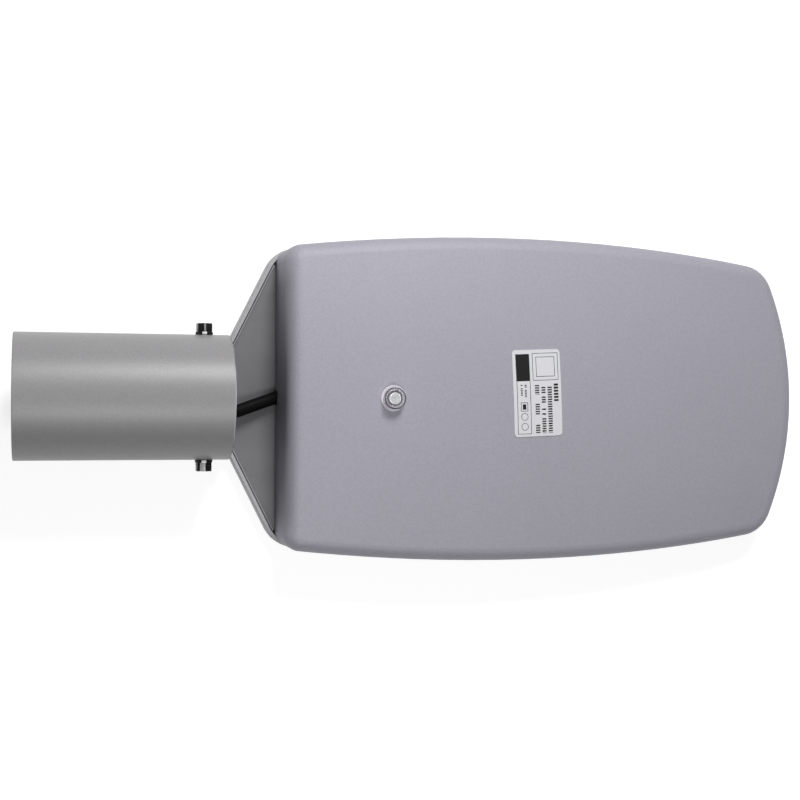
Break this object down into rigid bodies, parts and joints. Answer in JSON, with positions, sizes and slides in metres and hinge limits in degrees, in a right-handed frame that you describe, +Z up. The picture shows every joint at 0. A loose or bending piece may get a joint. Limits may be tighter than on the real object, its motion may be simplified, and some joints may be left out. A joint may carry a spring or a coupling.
{
  "type": "led street light head",
  "caption": "Street light head: round arm tube, recessed neck with supply cable, crowned die-cast housing with light sensor on top and a glass-covered lamp module underneath.",
  "frame": {"origin": "centre of the arm tube's open mouth", "axes": "+X from the tube towards the head's nose, +Z up from the flat underside"},
  "size_m": [0.4534, 0.1828, 0.076],
  "materials": {
    "housing_paint": "fine powder coat",
    "frame_paint": "fine powder coat",
    "tube_paint": "fine powder coat",
    "neck_paint": "dark grey cast coat",
    "black_steel": "black oxide",
    "zinc_steel": "zinc plated",
    "seal_rubber": "matt",
    "clear_glass": "clear",
    "board_white": "white solder mask",
    "lamp_yellow": "phosphor",
    "lens_clear": "clear moulded",
    "surround_white": "white",
    "supply_case": "satin",
    "terminal_grey": "moulded",
    "cable_black": "satin",
    "core_brown": "sheath",
    "sensor_clear": "clear moulded",
    "sensor_dark": "moulded",
    "cell_face": "ceramic face",
    "label_paper": "coated paper"
  },
  "bodies": {
    "root": {"housing_shell": "housing_paint", "bottom_frame": "frame_paint", "frame_gasket": "seal_rubber", "frame_screws": "zinc_steel", "neck_bracket": "neck_paint", "bracket_screws": "zinc_steel", "mounting_tube": "tube_paint", "tube_bolts": "black_steel", "spring_washers": "black_steel", "clamp_bolts": "zinc_steel", "clamp_nuts": "tube_paint", "cover_glass": "clear_glass", "glass_gasket": "seal_rubber", "glass_clips": "zinc_steel", "clip_screws": "zinc_steel", "led_board": "board_white", "led_chips": "lamp_yellow", "lens_array": "lens_clear", "reflector_frame": "surround_white", "board_screws": "zinc_steel", "driver_case": "supply_case", "driver_screws": "zinc_steel", "terminal_block": "terminal_grey", "terminal_screws": "zinc_steel", "earth_screw": "zinc_steel", "supply_cable": "cable_black", "cable_cores": "core_brown", "cable_grommet": "seal_rubber", "inner_cable": "cable_black", "cord_grip": "terminal_grey", "grip_screws": "zinc_steel", "inner_leads": "core_brown", "lamp_leads": "core_brown", "sensor_base": "sensor_dark", "sensor_cap": "sensor_clear", "photocell": "cell_face", "sensor_nut": "sensor_dark", "sensor_leads": "core_brown", "rating_label": "label_paper"}
  },
  "joints": []
}
